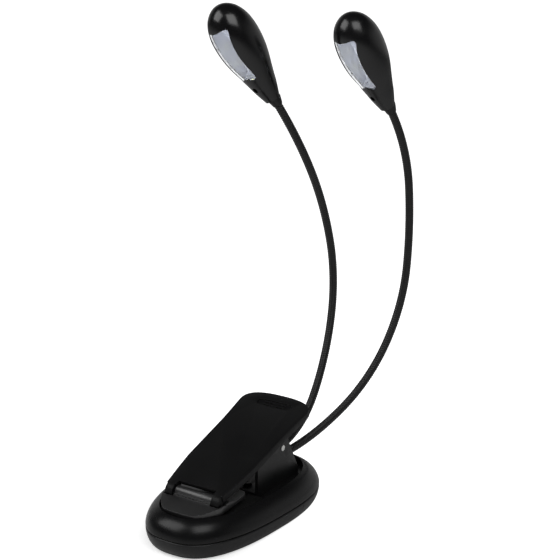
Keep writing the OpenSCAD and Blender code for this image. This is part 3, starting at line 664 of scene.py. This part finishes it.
def window_pane(side):
    """The clear pane: rings shrink from the window's edge to its middle, just under the shell's surface."""
    edge = window_edge(200, -0.12)
    middle = np.array([[along_at(WINDOW_MIDDLE), 0.0]])
    shrink = [1, 0.97, 0.9, 0.75, 0.55, 0.3, 0.0]
    outside = [on_teardrop(*(middle + (edge - middle) * f).T, 0.22) for f in shrink]
    inside = [on_teardrop(*(middle + (edge - middle) * f).T, 1.0) for f in shrink[::-1]]
    bm = bmesh.new()
    add_grid(bm, on_head(side, np.array(outside + inside)), wrap_rows=True)
    return finish_mesh(f"{side}_pane", bm, f"{side}_head", lens_clear,
                       replaces=[f"{side}_head_lens"])


BOWL_FLOOR = 1.4


def bowl(side):
    """Bright bowl: walls fall from the window's edge to a flat floor, where the lights stand."""
    edge = window_edge(240, -0.1)
    rim_points = on_teardrop(*edge.T, 1.15)
    middle = np.array([0, WINDOW_MIDDLE])
    rows = [rim_points]
    for f, depth in ((0.97, 0.35), (0.9, 0.75), (0.84, 0.93), (0.78, 1), (0.6, 1), (0.4, 1), (0.2, 1), (0, 1)):
        row = rim_points.copy()
        row[:, 1:] = middle + (rim_points[:, 1:] - middle) * f
        row[:, 0] = rim_points[:, 0] * (1 - depth) + BOWL_FLOOR * depth
        rows.append(row)
    under = [row - np.array([0.5, 0, 0]) for row in rows[::-1]]
    bm = bmesh.new()
    add_grid(bm, on_head(side, np.array(rows + under)), wrap_rows=True)
    return finish_mesh(f"{side}_bowl", bm, f"{side}_head", reflector_silver,
                       replaces=[f"{side}_head_reflector"])


def turned(profile, centre, steps=40):
    """A profile of (radius, height) turned about X through a centre in the head's frame."""
    a = np.linspace(0, 2 * np.pi, steps, endpoint=False)[None, :]
    r, h = np.array(profile, float).T[:, :, None]
    return np.stack([centre[0] + h + 0 * a, centre[1] + r * np.cos(a), centre[2] + r * np.sin(a)], axis=-1)


def lights(side):
    """Two light emitting diodes: a stepped base and a clear dome, with a ring round each."""
    bm, rings = bmesh.new(), bmesh.new()
    dome = [(0, 0.0), (2.0, 0.0), (2.0, 0.5), (1.6, 0.6)]
    dome += [(1.6 * math.cos(a), 0.9 + 1.5 * math.sin(a)) for a in np.radians([0, 15, 30, 45, 60, 75])]
    dome += [(0, 2.4)]
    ring = [(2.1, 0.0), (3.3, 0.9), (3.5, 1.0), (3.5, 0.7), (2.5, 0.0), (2.1, 0.0)]
    for s in (27.0, 36.5):
        add_grid(bm, on_head(side, turned(dome, (BOWL_FLOOR, 0, s))))
        add_grid(rings, on_head(side, turned(ring, (BOWL_FLOOR, 0, s))))
    finish_mesh(f"{side}_lights", bm, f"{side}_head", led_yellow,
                replaces=[f"{side}_head_leds"])
    finish_mesh(f"{side}_light_rings", rings, f"{side}_head", reflector_silver)


# The screw hole is not cut: a dark disc on the shell paints its shade.
def screw_hole_shade(side):
    """Painted shade of the screw's recess: a near-black disc of radius 1.15 laid on the front where the hole's shadow
    falls.
    """
    s0, radius = 13.2, 1.15
    r0 = np.interp(s0, CURVE[:, 0], CURVE[:, 1])
    a = np.linspace(0, 2 * np.pi, 32, endpoint=False)
    rows = []
    for f, depth in ((0.0, -0.02), (0.5, -0.03), (0.85, -0.04), (0.97, -0.04), (1.0, 0.0),
                     (0.95, 0.3), (0.5, 0.3), (0.0, 0.3)):
        along, around = along_at(s0 + 1.3 * f * radius * np.cos(a)), f * radius * np.sin(a) / r0
        rows.append(on_teardrop(along, around, depth))
    bm = bmesh.new()
    add_grid(bm, on_head(side, np.array(rows)))
    return finish_mesh(f"{side}_screw_hole_shade", bm, f"{side}_head", hole_shade_black)


def button(side):
    """Push button on the back: a domed cap with a rounded rim."""
    outer_x = HEAD_OFFSET - 10.65
    cap = [(0, 3.5), (2.9, 3.5)] + [(2.9, 0.5), (2.8, 0.1), (2.5, -0.12), (1.8, -0.24), (0.9, -0.3), (0, -0.32)]
    bm = bmesh.new()
    add_grid(bm, on_head(side, turned(cap, (outer_x, 0, 30.0))))
    return finish_mesh(f"{side}_cap", bm, f"{side}_button", rubber_black,
                       replaces=[f"{side}_head_button"])


def collar(side):
    """Neck collar: a short sleeve that widens towards the head, turned about the head's length."""
    profile = np.array([(2.12, 0.4), (2.3, 0.45), (2.42, 0.6), (2.5, 0.9), (3.35, 4.1), (3.4, 4.6), (2.12, 4.6)])
    a = np.linspace(0, 2 * np.pi, 48, endpoint=False)[None, :]
    r, h = profile.T[:, :, None]
    points = np.stack([r * np.cos(a), r * np.sin(a), h + 0 * a], axis=-1)
    bm = bmesh.new()
    add_grid(bm, on_head(side, points), wrap_rows=True)
    return finish_mesh(f"{side}_collar", bm, f"{side}_head", satin_black,
                       replaces=[f"{side}_head_collar"])


for side in NECKS:
    front_shell(side)
    back_shell(side)
    window_pane(side)
    bowl(side)
    lights(side)
    screw_hole_shade(side)
    button(side)
    collar(side)

# %% [markdown]
# ## Floor and light
# A white table with white paper curving up behind it, and a dim room everywhere else. One large soft light
# stands to the left and one to the right, which gives the pair of soft reflections that round gloss shows.

# %% Floor
floor_material = bpy.data.materials.new("floor_white")
floor_material.use_nodes = True
floor_shader = floor_material.node_tree.nodes["Principled BSDF"]
floor_shader.inputs["Base Color"].default_value = (0.93, 0.93, 0.93, 1)
floor_shader.inputs["Roughness"].default_value = 0.6
floor_tree = floor_material.node_tree
seen = floor_tree.nodes.new("ShaderNodeLightPath")
spot = add_node(floor_tree, "ShaderNodeTexCoord")
shifted = add_node(floor_tree, "ShaderNodeVectorMath", operation="ADD", links=[(spot.outputs["Object"], 0)])
shifted.inputs[1].default_value = (0.022, 0.035, 0)
away = add_node(floor_tree, "ShaderNodeVectorMath", operation="LENGTH", links=[(shifted.outputs["Vector"], 0)])
far = math_node(floor_tree, "MULTIPLY", math_node(floor_tree, "SUBTRACT", away.outputs["Value"], 0.035), 25.0, True)
shown = math_node(floor_tree, "ADD", math_node(floor_tree, "MULTIPLY", far, 0.5), 0.55)
deep = math_node(floor_tree, "GREATER_THAN", seen.outputs["Ray Depth"], 4.5)
asked = math_node(floor_tree, "MAXIMUM", seen.outputs["Is Camera Ray"], deep)
glow = math_node(floor_tree, "MULTIPLY", shown, asked)
floor_shader.inputs["Emission Color"].default_value = (1, 1, 1, 1)
floor_tree.links.new(glow, floor_shader.inputs["Emission Strength"])
floor_mesh = bpy.data.meshes.new("floor")
FLOOR_HALF = 3.0
corners = [(x * FLOOR_HALF, y * FLOOR_HALF, 0) for x, y in ((-1, -1), (1, -1), (1, 1), (-1, 1))]
floor_mesh.from_pydata(corners, [], [(0, 1, 2, 3)])
floor = bpy.data.objects.new("floor", floor_mesh)
bpy.context.collection.objects.link(floor)
floor_mesh.materials.append(floor_material)

# %% Sky and lamps
world = bpy.data.worlds.new("sky")
bpy.context.scene.world = world
world.use_nodes = True
sky = world.node_tree
sky.nodes["Background"].inputs["Color"].default_value = (1, 1, 1, 1)
sky_ray = sky.nodes.new("ShaderNodeLightPath")
sky_place = add_node(sky, "ShaderNodeTexCoord")
sky_way = add_node(sky, "ShaderNodeSeparateXYZ", links=[(sky_place.outputs["Generated"], "Vector")])
low = math_node(sky, "MULTIPLY", math_node(sky, "SUBTRACT", 0.62, sky_way.outputs["Z"], True), 3.0, True)
behind = math_node(sky, "ADD", math_node(sky, "MULTIPLY", sky_way.outputs["Y"], 1.5), 0.2, True)
paper = math_node(sky, "MULTIPLY", math_node(sky, "MULTIPLY", low, behind, True), 0.42)
dim = math_node(sky, "ADD", paper, 0.04)
deep_sky = math_node(sky, "GREATER_THAN", sky_ray.outputs["Ray Depth"], 4.5)
plain = math_node(sky, "MAXIMUM", sky_ray.outputs["Is Camera Ray"], deep_sky)
strength = math_node(sky, "MAXIMUM", dim, plain)
sky.links.new(strength, sky.nodes["Background"].inputs["Strength"])


def soft_light(name, azimuth, elevation, distance, size, power):
    """A square area light that looks at the middle of the lamp from an azimuth and elevation in degrees."""
    a, e = math.radians(azimuth), math.radians(elevation)
    direction = Vector((math.sin(a) * math.cos(e), -math.cos(a) * math.cos(e), math.sin(e)))
    data = bpy.data.lights.new(name, "AREA")
    data.shape, data.size, data.energy = "SQUARE", size, power
    lamp = bpy.data.objects.new(name, data)
    lamp.location = Vector((0.02, 0.02, 0.1)) + direction * distance
    lamp.rotation_euler = (-direction).to_track_quat("-Z", "Y").to_euler()
    bpy.context.collection.objects.link(lamp)


BOX_DISTANCE, BOX_SIZE, BOX_POWER = 1.0, 0.62, 4.0
for name, azimuth, elevation in (("left_box", -45, 41), ("right_box", 48, 53)):
    soft_light(name, azimuth, elevation, BOX_DISTANCE, BOX_SIZE, BOX_POWER)
bpy.context.scene.view_settings.view_transform = "Standard"
print("stage set")
